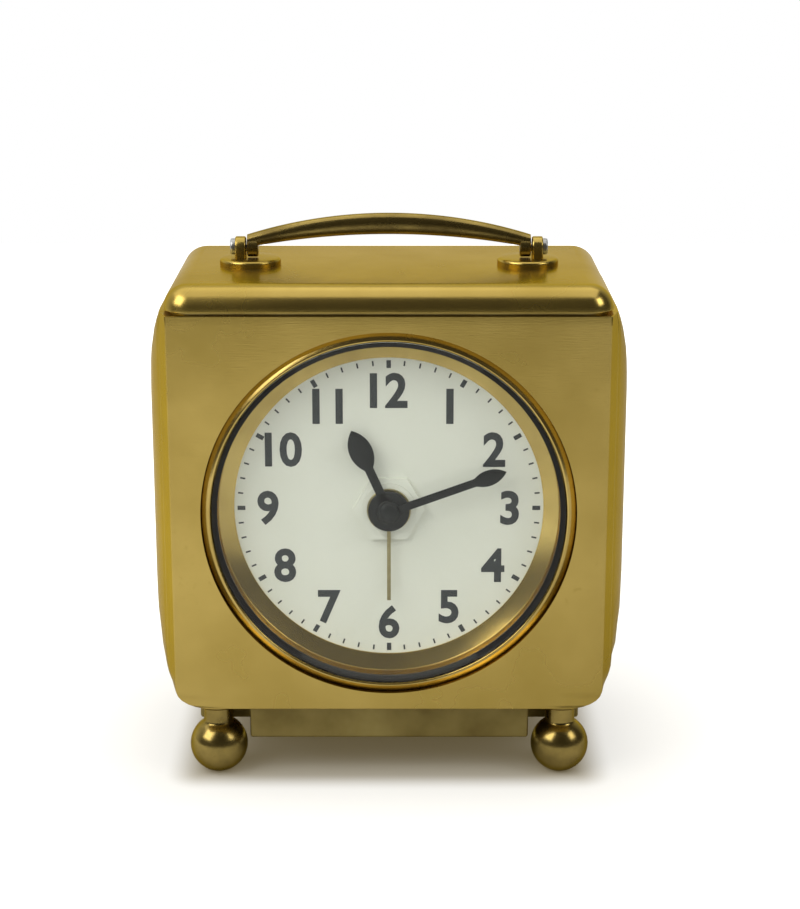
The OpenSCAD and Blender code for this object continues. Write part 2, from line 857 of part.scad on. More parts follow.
module back_plate() {
    plate_low = cavity_z + loose;
    plate_high = seam_z - loose;
    color(brass) difference() {
        upright(back_y, back_t) translate([0, (plate_low + plate_high) / 2])
            rounded_rect([cavity_w - 2 * loose, plate_high - plate_low], cavity_r);
        round_dial(back_y - over, back_t + 2 * over) {
            translate([0, battery_up]) rounded_rect(window, 1.2);
            translate(setting_at) circle(spindle_d / 2 + clear);
            translate(alarm_at) circle(spindle_d / 2 + clear);
            translate(buzzer_at) sound_holes();
            switch_slot();
            for (x = [-1, 1]) {
                for (up = back_screw_up) {
                    translate([x * back_screw_x, up]) circle(screw_d / 2 + loose);
                }
            }
        }
    }
}

module back_screws() {
    color(steel) for (x = [-1, 1]) {
        for (up = back_screw_up) {
            turned([x * back_screw_x, up]) {
                translate([0, back_y + back_t]) square([back_screw_head_r, back_screw_head_h]);
                translate([0, back_y - back_screw_l + loose]) square([screw_d / 2, back_screw_l + back_t]);
            }
        }
    }
}

// Half the angle that a tooth fills at radius r: involute flanks above the base circle, radial ones below it
tooth_fill = 0.86;
function base_r(teeth, m) = m * teeth / 2 * cos(20);
function unwind(r, base) = let (t = r > base ? sqrt(r * r / (base * base) - 1) : 0) t * 180 / PI - atan(t);
function half_tooth(teeth, m, r) = 90 / teeth * tooth_fill
    + unwind(m * teeth / 2, base_r(teeth, m)) - unwind(r, base_r(teeth, m));
function tooth_side(teeth, m, side) = [
    for (step = [0:4])
        let (low = m * (teeth / 2 - 1.2), r = low + (side > 0 ? 4 - step : step) / 4 * m * 2.05)
        [r, side * half_tooth(teeth, m, r)]
];

// Outline of a toothed wheel, with a tooth's middle at angle turn from the right, counter-clockwise
module toothed(teeth, m, turn) {
    polygon([
        for (k = [0:teeth - 1])
            for (p = concat(tooth_side(teeth, m, -1), tooth_side(teeth, m, 1)))
                let (a = turn + 360 * k / teeth + p[1])
                p[0] * [cos(a), sin(a)]
    ]);
}

// Angle of a wheel's tooth so that it meshes with one whose tooth is at turn, in direction dir from it
function meshed(teeth, turn, next_teeth, dir) =
    dir + 180 - (0.5 - (dir - turn) * teeth / 360) * 360 / next_teeth;

cannon_turn = 90 - minute_angle;
minute_wheel_turn = meshed(cannon_teeth, cannon_turn, minute_teeth, minute_dir);
pinion_turn = 0;
hour_turn = meshed(minute_pinion_teeth, pinion_turn, hour_teeth, minute_dir + 180);
setting_turn = meshed(minute_teeth, minute_wheel_turn, setting_teeth, setting_dir);
alarm_turn = 0;
alarm_pinion_turn = meshed(alarm_teeth, alarm_turn, setting_teeth, alarm_dir);

// The minute arbor, with the pinion that drives the motion works
module minute_arbor() {
    color(steel) {
        round_dial(minute_hand_y - cap_t / 2, gearbox_y + gearbox_d / 2 - minute_hand_y + cap_t / 2) circle(arbor_r);
        round_dial(minute_wheel_y - 0.1, cannon_t - 0.1) toothed(cannon_teeth, tooth_m, cannon_turn);
    }
}

// The intermediate wheel: a wheel in mesh with the minute arbor, and a pinion in mesh with the hour wheel
module minute_wheel() {
    color([0.9, 0.88, 0.8]) {
        round_dial(minute_wheel_y, wheel_t) translate(minute_at) toothed(minute_teeth, tooth_m, minute_wheel_turn);
        round_dial(hour_wheel_y, minute_wheel_y - hour_wheel_y + wheel_t / 2) translate(minute_at)
            toothed(minute_pinion_teeth, hour_tooth_m, pinion_turn);
        round_dial(wall_back_y + running, gearbox_y - wall_back_y - 2 * running) translate(minute_at) circle(0.6);
    }
}

// A wheel on a pipe that runs forward to its hand
module wheel_on_pipe(wheel_y, hand_y, teeth, m, turn, pipe_r) {
    bore_r = pipe_r - pipe_wall;
    color([0.9, 0.88, 0.8]) difference() {
        union() {
            round_dial(wheel_y, wheel_t) toothed(teeth, m, turn);
            round_dial(hand_y, wheel_y - hand_y + wheel_t) circle(pipe_r);
        }
        round_dial(hand_y - over, wheel_y - hand_y + wheel_t + 2 * over) circle(bore_r);
    }
}

module hour_wheel() {
    wheel_on_pipe(hour_wheel_y, hour_hand_y, hour_teeth, hour_tooth_m, hour_turn, hour_pipe_r);
}

module alarm_wheel() {
    wheel_on_pipe(alarm_wheel_y, alarm_hand_y, alarm_teeth, tooth_m, alarm_turn, alarm_pipe_r);
}

// A hand's outline points up; it is turned clockwise to its angle, and its hub is pushed on a shaft
module hand(hand_y, angle, shaft_r, hub_r) {
    difference() {
        union() {
            round_dial(hand_y, hand_t) circle(hub_r);
            round_dial(hand_y, hand_t) rotate(-angle) children();
        }
        round_dial(hand_y - over, hand_t + 2 * over) circle(shaft_r + pushed);
    }
}

// A straight stem with a leaf at its end, from leaf_from to the hand's tip
module stem_and_leaf(stem_w, leaf_from, leaf_w, tip) {
    leaf_r = arc_r((tip - leaf_from) / 2, leaf_w / 2);
    translate([-stem_w / 2, 0]) square([stem_w, (leaf_from + tip) / 2]);
    translate([0, (leaf_from + tip) / 2]) intersection() {
        translate([leaf_w / 2 - leaf_r, 0]) circle(leaf_r);
        translate([leaf_r - leaf_w / 2, 0]) circle(leaf_r);
    }
}

module minute_hand() {
    color(black) hand(minute_hand_y, minute_angle, arbor_r, hand_r - 0.8)
        stem_and_leaf(0.8, minute_l * 0.7, 2.1, minute_l);
}

module hour_hand() {
    color(black) hand(hour_hand_y, hour_angle, hour_pipe_r, hand_r)
        stem_and_leaf(1.1, hour_l * 0.5, 3.2, hour_l);
}

module alarm_hand() {
    alarm_w = 0.55;
    color([0.8, 0.7, 0.5]) hand(alarm_hand_y, alarm_angle, alarm_pipe_r, hand_r + 0.6)
        translate([-alarm_w / 2, 0]) square([alarm_w, alarm_l]);
}

// A domed cap on the end of the minute arbor
module hand_cap() {
    color(black) turned() difference() {
        intersection() {
            translate([0, minute_hand_y + 0.4]) circle(1.5);
            translate([0, minute_hand_y - cap_t]) square([2, cap_t]);
        }
        translate([0, minute_hand_y - cap_t / 2]) square([arbor_r + pushed, cap_t]);
    }
}

// A spindle from the movement's front wall to the knob behind the back plate, with its setting pinion
module spindle(at, pinion_y, turn) {
    nose_r = 0.8;
    spindle_end = back_y + back_t + clear + knob_h - 1;
    color(steel) {
        round_dial(wall_back_y + running, spindle_end - wall_back_y - running) translate(at) circle(nose_r);
        round_dial(pinion_y + wheel_t, spindle_end - pinion_y - wheel_t) translate(at) circle(spindle_d / 2);
        round_dial(pinion_y, wheel_t) translate(at) toothed(setting_teeth, tooth_m, turn);
    }
}

module time_spindle() {
    spindle(setting_at, minute_wheel_y, setting_turn);
}

module alarm_spindle() {
    spindle(alarm_at, alarm_wheel_y, alarm_pinion_turn);
}

// A fluted setting knob, pushed on its spindle
module knob(at) {
    flutes = 18;
    flute_r = 0.5;
    knob_y = back_y + back_t + clear;
    color(brass) difference() {
        round_dial(knob_y, knob_h) translate(at) difference() {
            circle(d = knob_d);
            for (k = [1:flutes]) {
                rotate(360 * k / flutes) translate([knob_d / 2, 0]) circle(flute_r);
            }
        }
        round_dial(knob_y - over, knob_h - 1 + over + running) translate(at) circle(spindle_d / 2 + pushed);
    }
}

module time_knob() {
    knob(setting_at);
}

module alarm_knob() {
    knob(alarm_at);
}

// The alarm's slide switch: a flange inside the housing and a finger piece outside the back plate
module alarm_switch() {
    inside_y = movement_back_y - movement_wall - switch_flange[2] - running;
    color(black) {
        round_dial(inside_y, switch_flange[2]) translate(switch_at)
            square([switch_flange[0], switch_flange[1]], center = true);
        round_dial(inside_y, back_y + back_t + 1.6 - inside_y) translate(switch_at)
            square(switch_size, center = true);
    }
}

case_band();
front_plate();
bezel_ring();
crystal();
crystal_gasket();
top_plate();
base_plate();
base_screws();
foot_front_left();
foot_front_right();
foot_rear_left();
foot_rear_right();
foot_screws();
post_left();
post_right();
post_nuts();
handle();
handle_pins();
dial();
centre_bush();
bush_nut();
front_housing();
rear_housing();
housing_screws();
circuit_board();
coil();
gearbox();
buzzer();
contact_plus();
contact_minus();
battery();
battery_cover();
back_plate();
back_screws();
minute_arbor();
minute_wheel();
hour_wheel();
alarm_wheel();
minute_hand();
hour_hand();
alarm_hand();
hand_cap();
time_spindle();
time_knob();
alarm_spindle();
alarm_knob();
alarm_switch();
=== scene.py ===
from math import asin, cos, hypot, pi, radians, sin, sqrt

import bmesh
import bpy
from mathutils import Matrix, Vector


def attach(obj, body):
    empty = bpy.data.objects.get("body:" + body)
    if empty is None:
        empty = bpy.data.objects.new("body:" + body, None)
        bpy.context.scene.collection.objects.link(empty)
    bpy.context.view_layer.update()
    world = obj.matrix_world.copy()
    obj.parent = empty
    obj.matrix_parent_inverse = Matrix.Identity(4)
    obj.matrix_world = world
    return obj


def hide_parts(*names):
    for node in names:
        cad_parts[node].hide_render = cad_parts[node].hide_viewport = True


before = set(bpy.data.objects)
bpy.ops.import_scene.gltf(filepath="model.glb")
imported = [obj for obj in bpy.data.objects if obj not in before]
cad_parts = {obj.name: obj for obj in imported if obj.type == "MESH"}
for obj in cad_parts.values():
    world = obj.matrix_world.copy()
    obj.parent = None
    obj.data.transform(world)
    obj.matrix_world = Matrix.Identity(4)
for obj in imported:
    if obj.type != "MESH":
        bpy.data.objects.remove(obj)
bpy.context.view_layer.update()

# ---------------------------------------------------------------- Camera
# The photograph looks straight at the dial from a little above the clock, with a long lens.
camera_data = bpy.data.cameras.new("camera")
camera_data.sensor_fit = "HORIZONTAL"
camera_data.sensor_width = 36
camera_data.lens = 94.9
camera_data.clip_start = 0.01
camera = bpy.data.objects.new("camera", camera_data)
camera_tilt, camera_distance = radians(15.46), 0.320
camera_aim = Vector((0.00162, 0, 0.0453))
camera.location = camera_aim + camera_distance * Vector((0, -cos(camera_tilt), sin(camera_tilt)))
camera.rotation_euler = (pi / 2 - camera_tilt, 0, 0)
bpy.context.scene.collection.objects.link(camera)
bpy.context.scene.camera = camera

# ---------------------------------------------------------------- Case band
# The band is the brass wall round the sides and bottom of the clock, pressed so that its sides swell like a
# cushion. It is polished and lacquered. Its sizes here are in millimetres, and every piece shrinks to metres
# when it is done.
X, Y, Z = range(3)
case_half_w, case_half_d, case_low, case_top = 31.4, 19, 11.6, 74.6
side_swell, side_flat, corner_r, rim_r = 3.9, 0.4, 6, 2.0
seam_low, seam_high = 70.6, 71.0
front_plate_back = -16
cut_edge_r = 0.12
cavity_half_w, cavity_low, cavity_r = 29.4, 13.4, 3
well_past, well_above = 40, 90


def srgb(code):
    """An sRGB hex colour as Blender's linear colour."""
    parts = [int(code[i:i + 2], 16) / 255 for i in (1, 3, 5)]
    return [p / 12.92 if p <= 0.04045 else ((p + 0.055) / 1.055) ** 2.4 for p in parts] + [1]


def add_node(tree, kind, links=None, **settings):
    """Adds a node with its settings, and sets or links its inputs."""
    node = tree.nodes.new(kind)
    for name, value in settings.items():
        setattr(node, name, value)
    for name, value in (links or {}).items():
        if isinstance(value, bpy.types.NodeSocket):
            tree.links.new(value, node.inputs[name])
        else:
            node.inputs[name].default_value = value
    return node


def new_finish(name):
    """An empty material, with its tree and its object coordinates."""
    finish = bpy.data.materials.new(name)
    finish.use_nodes = True
    tree = finish.node_tree
    tree.nodes.clear()
    place = add_node(tree, "ShaderNodeTexCoord").outputs["Object"]
    return finish, tree, place


def finish_with(tree, shader):
    add_node(tree, "ShaderNodeOutputMaterial", {"Surface": shader.outputs[0]})


def grain(tree, place, size_mm, detail=4, rough=0.55):
    """Cloudy noise whose features are about size_mm across."""
    return add_node(tree, "ShaderNodeTexNoise", {"Vector": place, "Scale": 1000 / size_mm, "Detail": detail,
                                                 "Roughness": rough}).outputs["Fac"]


def lacquered_brass(name, bright, aged, roughness, cloud_mm, scratch=0.25):
    """Polished brass under old lacquer: cloudy toning, fine hairlines from wiping, and a coat dulled unevenly."""
    finish, tree, place = new_finish(name)
    cloud = grain(tree, place, cloud_mm)
    toning = add_node(tree, "ShaderNodeMapRange", {"Value": cloud, "From Min": 0.35, "From Max": 0.7})
    speck = grain(tree, place, 1.1, 2)
    spots = add_node(tree, "ShaderNodeMapRange", {"Value": speck, "From Min": 0.62, "From Max": 0.75, "To Max": 0.5})
    amount = add_node(tree, "ShaderNodeMath", {0: toning.outputs[0], 1: spots.outputs[0]}, operation="MAXIMUM")
    tone = add_node(tree, "ShaderNodeMix", {"Factor": amount.outputs[0], "A": srgb(bright), "B": srgb(aged)},
                    data_type="RGBA")
    # Hairlines run a few millimetres and are about 0.05 mm wide, drawn at 0.15 mm so that they show
    hair_place = add_node(tree, "ShaderNodeMapping", {"Vector": place, "Rotation": (0.2, 0.35, 0.5),
                                                      "Scale": (0.06, 1, 1)})
    hair = grain(tree, hair_place.outputs[0], 0.15, 2)
    rough = add_node(tree, "ShaderNodeMapRange", {"Value": cloud, "From Min": 0.3, "From Max": 0.75,
                                                  "To Min": roughness, "To Max": roughness + 0.12})
    bump = add_node(tree, "ShaderNodeBump", {"Height": hair, "Strength": scratch, "Distance": 0.00002})
    # The edge tint keeps the brass yellow where it is seen at a grazing angle, as the photograph has it
    metal = add_node(tree, "ShaderNodeBsdfPrincipled", {
        "Base Color": tone.outputs["Result"], "Metallic": 1, "Roughness": rough.outputs[0],
        "Normal": bump.outputs[0], "Specular Tint": srgb("#E0CB80"), "Coat Weight": 0.12, "Coat Roughness": 0.12})
    finish_with(tree, metal)
    return finish


case_brass = lacquered_brass("polished_lacquered_brass", "#C9B062", "#B39A4C", 0.2, 24)


def shaped_piece(bm, name, finish, body, replaced=(), crease=32, flat=False):
    """Turns a bmesh in millimetres into a piece that rides on a body: closed, and smooth but at its edges."""
    bmesh.ops.remove_doubles(bm, verts=bm.verts, dist=0.0005)
    bmesh.ops.recalc_face_normals(bm, faces=bm.faces)
    for face in bm.faces:
        face.smooth = True
    for edge in bm.edges:
        edge.smooth = edge.calc_face_angle(pi) < radians(crease)
    bmesh.ops.scale(bm, vec=(0.001, 0.001, 0.001), verts=bm.verts)
    mesh = bpy.data.meshes.new(name)
    bm.to_mesh(mesh)
    bm.free()
    mesh.materials.append(finish)
    piece = bpy.data.objects.new(name, mesh)
    bpy.context.scene.collection.objects.link(piece)
    if flat:
        # Flat faces stay flat to the eye up to the rounded edges
        even = piece.modifiers.new("even_shading", "WEIGHTED_NORMAL")
        even.keep_sharp = True
    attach(piece, body)
    if replaced:
        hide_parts(*replaced)


def cut(bm, point, normal):
    """Cuts a closed shape by a plane, keeps the side behind it, and closes the cut with a flat face."""
    geom = bm.verts[:] + bm.edges[:] + bm.faces[:]
    done = bmesh.ops.bisect_plane(bm, geom=geom, dist=1e-5, plane_co=point, plane_no=normal, clear_outer=True)
    rim = [e for e in done["geom_cut"] if isinstance(e, bmesh.types.BMEdge)]
    bmesh.ops.contextual_create(bm, geom=rim)


def slice_at(bm, axis, places):
    """Adds an edge loop to a shape at each place along an axis."""
    for place in places:
        point = [0, 0, 0]
        normal = [0, 0, 0]
        point[axis], normal[axis] = place, 1
        bmesh.ops.bisect_plane(bm, geom=bm.verts[:] + bm.edges[:] + bm.faces[:], dist=1e-5, plane_co=point,
                               plane_no=normal)


def lies_at(edge, axis, place, slack=0.001):
    """Whether both ends of an edge lie at a place along an axis."""
    return all(abs(v.co[axis] - place) < slack for v in edge.verts)


def sharp(edge, angle=60):
    """Whether the two faces at an edge turn by more than an angle in degrees."""
    return edge.calc_face_angle(0) > radians(angle)


def soften(bm, edges, size, segments=2):
    """Rounds edges over."""
    bmesh.ops.bevel(bm, geom=edges, offset=size, segments=segments, profile=0.5, affect="EDGES", material=-1,
                    clamp_overlap=True)


def arc_r(half_span, rise):
    """Radius of the arc that spans half_span to each side and rises by rise."""
    return (half_span ** 2 + rise ** 2) / (2 * rise)


def side_reach(y, z):
    """How far the case's side stands from the middle: an arc seen from above, cut by the bowed front outline."""
    plan_r = arc_r(case_half_d, side_swell + side_flat)
    reach = case_half_w + side_swell + side_flat - plan_r + sqrt(plan_r ** 2 - y * y)
    # The outline is straight at mid height, then an arc of curve_r, then the lower corner
    curve_r, middle, straight = 36, (case_low + case_top) / 2, 14
    wide = case_half_w + side_swell
    drop = middle - straight - case_low - corner_r
    corner_x = wide - curve_r + sqrt((curve_r - corner_r) ** 2 - drop ** 2)
    meet_z = case_low + corner_r - corner_r * drop / (curve_r - corner_r)
    away = max(abs(z - middle) - straight, 0)
    if z > meet_z:
        outline = wide - curve_r + sqrt(curve_r ** 2 - away ** 2)
    else:
        outline = corner_x + sqrt(max(corner_r ** 2 - (case_low + corner_r - z) ** 2, 0))
    # The two run into each other without a crease
    blend_w, blend_cut = 1.2, 0.2
    blend = max(blend_w - abs(reach - outline), 0) / blend_w
    return min(reach, outline) - blend_cut * blend ** 2


def body_form():
    """The outside of the case below the seam, with its edges rounded all round."""
    bm = bmesh.new()
    bmesh.ops.create_cube(bm, size=2)
    middle = (case_low + seam_low) / 2
    bmesh.ops.scale(bm, vec=(case_half_w, case_half_d, (seam_low - case_low) / 2), verts=bm.verts)
    bmesh.ops.translate(bm, vec=(0, 0, middle), verts=bm.verts)
    # The slices lie closer together where the form curves more
    slice_at(bm, X, [-24, -12, 0, 12, 24])
    slice_at(bm, Y, range(-15, 16, 3))
    slice_at(bm, Z, [case_low + corner_r * (1 - cos(radians(a))) for a in (14, 26, 37, 47, 57, 66, 75, 84)]
             + [19.5, 21.5, 24, 26.5, 29, 33, 37, 43, 49, 53, 57, 59.5, 62, 64, 66, 67.5, 69])
    for v in bm.verts:
        v.co.x *= side_reach(v.co.y, v.co.z) / case_half_w
    # The rims of the front and back faces, but for the seam, are rounded over
    rims = [e for e in bm.edges if (lies_at(e, Y, -case_half_d) or lies_at(e, Y, case_half_d))
            and not lies_at(e, Z, seam_low) and sharp(e, 40)]
    soften(bm, rims, rim_r, 7)
    return bm


def joint_edges(bm):
    """The sharp edges where the band and the front plate meet each other and the seam."""
    return [e for e in bm.edges if sharp(e) and (lies_at(e, Y, front_plate_back) or lies_at(e, Z, seam_low))]


def block(low, high):
    """A plain block between two corners."""
    bm = bmesh.new()
    bmesh.ops.create_cube(bm, size=1)
    low, high = Vector(low), Vector(high)
    bmesh.ops.scale(bm, vec=high - low, verts=bm.verts)
    bmesh.ops.translate(bm, vec=(low + high) / 2, verts=bm.verts)
    return bm


def carve(bm, tool):
    """Cuts the tool's shape out of bm. Both are closed, and both are in millimetres."""
    objects = []
    for name, part in (("carved", bm), ("carver", tool)):
        mesh = bpy.data.meshes.new(name)
        part.to_mesh(mesh)
        part.free()
        one = bpy.data.objects.new(name, mesh)
        bpy.context.scene.collection.objects.link(one)
        objects.append(one)
    cutter = objects[0].modifiers.new("carve", "BOOLEAN")
    cutter.operation = "DIFFERENCE"
    cutter.solver = "EXACT"
    cutter.object = objects[1]
    bpy.context.view_layer.update()
    carved = bpy.data.meshes.new_from_object(objects[0].evaluated_get(bpy.context.evaluated_depsgraph_get()))
    result = bmesh.new()
    result.from_mesh(carved)
    for one in objects:
        mesh = one.data
        bpy.data.objects.remove(one)
        bpy.data.meshes.remove(mesh)
    bpy.data.meshes.remove(carved)
    return result


band = body_form()
cut(band, (0, front_plate_back, 0), (0, -1, 0))
soften(band, joint_edges(band), cut_edge_r)
room = block((-cavity_half_w, -well_past, cavity_low), (cavity_half_w, well_past, well_above))
soften(room, [e for e in room.edges if lies_at(e, Z, cavity_low, 0.01)
              and abs(e.verts[0].co.y - e.verts[1].co.y) > 1], cavity_r, 6)
band = carve(band, room)
shaped_piece(band, "case_band_brass", case_brass, "case", ["case_band"], flat=True)

# ---------------------------------------------------------------- Base plate and feet
# Under the case sits a recessed plate, darkened with painted shade, and four turned brass balls screwed up through it.
# The balls are turned on a lathe and polished like the case, and each stands on a small flat.
base_low = 6
base = block((-20.7, -16.4, base_low), (20.7, 16.4, case_low))
wing = block((-28.8, -8.7, base_low), (28.8, 8.7, case_low))
# Painted shade: a darker, dull copy of the brass for recessed parts, so its reflections are broad and dim
shade_darkened_brass = lacquered_brass("dark_brass_painted_shade", "#A3935A", "#7D6D3C", 0.38, 12)


def join(*parts):
    """Puts several closed shapes into one bmesh."""
    whole = bmesh.new()
    for part in parts:
        mesh = bpy.data.meshes.new("part")
        part.to_mesh(mesh)
        part.free()
        whole.from_mesh(mesh)
        bpy.data.meshes.remove(mesh)
    return whole


for slab in (base, wing):
    soften(slab, slab.edges[:], 0.4, 3)
shaped_piece(join(base, wing), "base_plate_toned", shade_darkened_brass, "case", ["base_plate"])


def turned(profile, steps, axis="Z", at=(0, 0, 0)):
    """Spins a profile of (radius, along) points into a closed turned piece about an axis through at."""
    bm = bmesh.new()
    verts = [bm.verts.new((r, 0, h)) for r, h in profile]
    edges = [bm.edges.new(pair) for pair in zip(verts, verts[1:])]
    if min(profile[0][0], profile[-1][0]) > 0:
        edges.append(bm.edges.new((verts[-1], verts[0])))
    bmesh.ops.spin(bm, geom=verts + edges, cent=(0, 0, 0), axis=(0, 0, 1), dvec=(0, 0, 0), angle=2 * pi,
                   steps=steps, use_merge=True, use_duplicate=False)
    bmesh.ops.remove_doubles(bm, verts=bm.verts, dist=0.0005)
    bmesh.ops.recalc_face_normals(bm, faces=bm.faces)
    if axis == "Y":
        # A profile's second value then counts along +Y
        bmesh.ops.rotate(bm, cent=(0, 0, 0), matrix=Matrix.Rotation(-pi / 2, 3, "X"), verts=bm.verts)
    elif axis == "X":
        bmesh.ops.rotate(bm, cent=(0, 0, 0), matrix=Matrix.Rotation(pi / 2, 3, "Y"), verts=bm.verts)
    bmesh.ops.translate(bm, vec=at, verts=bm.verts)
    return bm


def arc(cx, cy, r, start, end, steps):
    """Points along an arc, by angles in degrees."""
    return [(cx + r * cos(radians(start + (end - start) * k / steps)),
             cy + r * sin(radians(start + (end - start) * k / steps))) for k in range(steps + 1)]


# Painted shade: a darker copy of the brass for the feet and the handle. Its lacquer is worn in small patches, so its
# tone changes every few millimetres
shade_darkened_worn_brass = lacquered_brass("shade_darkened_worn_brass", "#AA9555", "#7C6B3B", 0.2, 5)
ball_r, ball_z, neck_r, fillet = 4.3, 4.1, 2.2, 0.7
collar_r, collar_edge_r = 3.1, 0.55
foot_x, foot_y = 25.6, 13.6
flat_r = sqrt(ball_r ** 2 - ball_z ** 2)
neck_at = ball_z + sqrt((ball_r + fillet) ** 2 - (neck_r + fillet) ** 2)
meet = asin((neck_at - ball_z) / (ball_r + fillet))
ball = [(0, 0), (flat_r, 0)] + arc(0, ball_z, ball_r, -72, meet * 180 / pi, 40)[1:]
ball += arc(neck_r + fillet, neck_at, fillet, 180 + meet * 180 / pi, 180, 6) + [(neck_r, case_low - 2 * collar_edge_r)]
ball += arc(collar_r, case_low - collar_edge_r, collar_edge_r, -90, 90, 8) + [(0, case_low)]
for name, x, y in (("front_left", -1, -1), ("front_right", 1, -1), ("rear_left", -1, 1), ("rear_right", 1, 1)):
    shaped_piece(turned(ball, 72, at=(x * foot_x, y * foot_y, 0)), "ball_foot_" + name, shade_darkened_worn_brass, "case",
                 ["foot_" + name])

# ---------------------------------------------------------------- Front plate
# A brass plate, stamped flat and polished like the band, closes the front. It has a large round opening for the
# bezel ring, and its outer edges are rounded over into the sides.
dial_z, bezel_r, ring_gap = 41.2, 27, 0.05
fine_steps = 192
plate = body_form()
cut(plate, (0, front_plate_back, 0), (0, 1, 0))
soften(plate, joint_edges(plate), cut_edge_r)
hole_r, plate_middle = bezel_r + ring_gap, (front_plate_back - case_half_d) / 2
hole = turned([(0, -3), (hole_r, -3), (hole_r, 3), (0, 3)], fine_steps, "Y", (0, plate_middle, dial_z))
plate = carve(plate, hole)
opening = [e for e in plate.edges if sharp(e) and lies_at(e, Y, -case_half_d, 0.01)
           and all(abs(hypot(v.co.x, v.co.z - dial_z) - bezel_r) < 0.2 for v in e.verts)]
soften(plate, opening, cut_edge_r)
shaped_piece(plate, "front_plate_brass", case_brass, "case", ["front_plate"], flat=True)

# ---------------------------------------------------------------- Top plate
# The top plate is a thick pressed brass lid with a rounded rim, polished and lacquered like the case. A narrow
# neck under it, darkened with painted shade, drops into the case and shows as the dark line between the two.
lid_half_w, lid_corner_r, lid_rim_r, lid_low_r = 31.9, 3.8, 3.5, 0.08
neck_half_w, neck_half_d, neck_corner_r = 31.0, 18.5, 3
neck_in_case, neck_in_lid = 0.9, 0.1


def upright_edges(bm):
    """The edges of a block that stand up at its corners."""
    return [e for e in bm.edges if abs(e.verts[0].co.z - e.verts[1].co.z) > 1]


lid = block((-lid_half_w, -case_half_d, seam_high), (lid_half_w, case_half_d, case_top))
soften(lid, upright_edges(lid), lid_corner_r, 10)
soften(lid, [e for e in lid.edges if sharp(e) and lies_at(e, Z, case_top)], lid_rim_r, 12)
soften(lid, [e for e in lid.edges if sharp(e) and lies_at(e, Z, seam_high)], lid_low_r)
shaped_piece(lid, "top_plate_brass", case_brass, "case", ["top_plate"])
neck = block((-neck_half_w, -neck_half_d, seam_low - neck_in_case), (neck_half_w, neck_half_d, seam_high + neck_in_lid))
soften(neck, upright_edges(neck), neck_corner_r, 6)
shaped_piece(neck, "top_plate_neck", shade_darkened_brass, "case")

# ---------------------------------------------------------------- Bezel ring, gasket and glass
# The bezel is turned from brass tube: a narrow polished rim, a seat for the glass, and a dished slope down to
# the dial. The glass is a flat disc of mineral glass on a black rubber gasket.
dial_y, seat_y, seat_in_r, slope_r = -14, -17.1, 24.75, 22.5
# Painted light: a brighter copy of the brass, so that the dished slopes show bright. Its hairlines are faint
brightened_bezel_brass = lacquered_brass("turned_brass_painted_light", "#D6BC70", "#B89E56", 0.16, 10, 0.15)
# From the back edge over the rounded rim, then down to the seat, the dish and the dial
bezel = [(bezel_r, dial_y)] + arc(26.7, -17.9, 0.3, 0, -62, 5) + arc(25.9, -18.4, 0.3, -66, -180, 8)
bezel += [(25.6, seat_y), (seat_in_r, seat_y), (24.7, -15.5)]
bezel += arc(24.5, -15.5, 0.2, 0, 62, 4) + [(slope_r, -14.3), (slope_r, dial_y)]
shaped_piece(turned(bezel, fine_steps, "Y", (0, 0, dial_z)), "bezel_ring_brass", brightened_bezel_brass, "case",
             ["bezel_ring"])


def refinish(finish, *nodes):
    """Gives a finish to nodes whose own shape from the frame stays in view."""
    for node in nodes:
        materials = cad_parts[node].data.materials
        materials.clear()
        materials.append(finish)


# Moulded rubber: near black, dull and finely pitted
rubber, tree, place = new_finish("moulded_rubber")
finish_with(tree, add_node(tree, "ShaderNodeBsdfPrincipled", {
    "Base Color": srgb("#1B1B1C"), "Roughness": 0.7,
    "Normal": add_node(tree, "ShaderNodeBump", {"Height": grain(tree, place, 0.3), "Strength": 0.3,
                                                "Distance": 0.00003}).outputs[0]}))
refinish(rubber, "crystal_gasket")

# Mineral glass: clear and very smooth. Its IOR is lower than real glass has, so that it mirrors the table as
# little as the photograph shows.
glass, tree, place = new_finish("mineral_glass")
smear = add_node(tree, "ShaderNodeMapRange", {"Value": grain(tree, place, 9), "From Min": 0.45, "From Max": 0.8,
                                              "To Min": 0.0, "To Max": 0.05})
pane = add_node(tree, "ShaderNodeBsdfPrincipled", {
    "Base Color": srgb("#FBFDFB"), "Roughness": smear.outputs[0], "IOR": 1.36, "Transmission Weight": 1})
# Lamp light passes the pane straight, so that the dial is lit through it
lamp_ray = add_node(tree, "ShaderNodeLightPath")
through = add_node(tree, "ShaderNodeBsdfTransparent", {"Color": srgb("#FBFDFB")})
finish_with(tree, add_node(tree, "ShaderNodeMixShader", {
    "Fac": lamp_ray.outputs["Is Shadow Ray"], 1: pane.outputs[0], 2: through.outputs[0]}))
disc = [(0, -17.5), (25.4, -17.5), (25.55, -17.65), (25.55, -18.55), (25.4, -18.7), (0, -18.7)]
shaped_piece(turned(disc, fine_steps, "Y", (0, 0, dial_z)), "crystal_glass", glass, "case", ["crystal"])

# ---------------------------------------------------------------- Dial
# The dial is a thin metal disc, sprayed matt white and printed in black: a minute track and twelve numerals.
dial_r, dial_hole_r, dial_back_y = 26.9, 3.92, -13.5
